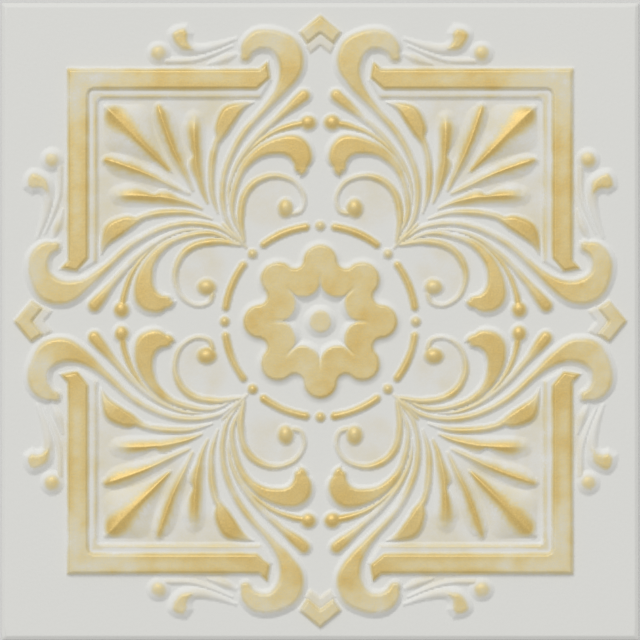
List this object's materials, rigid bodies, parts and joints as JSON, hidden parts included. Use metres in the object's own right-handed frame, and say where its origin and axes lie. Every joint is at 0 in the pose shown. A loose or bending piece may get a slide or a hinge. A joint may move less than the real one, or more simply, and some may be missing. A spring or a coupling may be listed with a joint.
{
  "type": "polystyrene ceiling tile",
  "caption": "Square moulded foam ceiling tile with a raised rosette, a ring of beads and bars, leaf scrolls, corner brackets and a bevelled edge; glues to a flat ceiling.",
  "frame": {"origin": "middle of the tile's flat back, which is the lowest face as it lies face up", "axes": "+Z out of the ornamented face, +Y towards one side of the square, +X towards the side to its right"},
  "size_m": [0.5, 0.5, 0.0092],
  "materials": {
    "foam": "satin white foam skin with brushed antique gold on the raised ornament"
  },
  "bodies": {
    "root": {"ceiling_tile": "foam"}
  },
  "joints": []
}
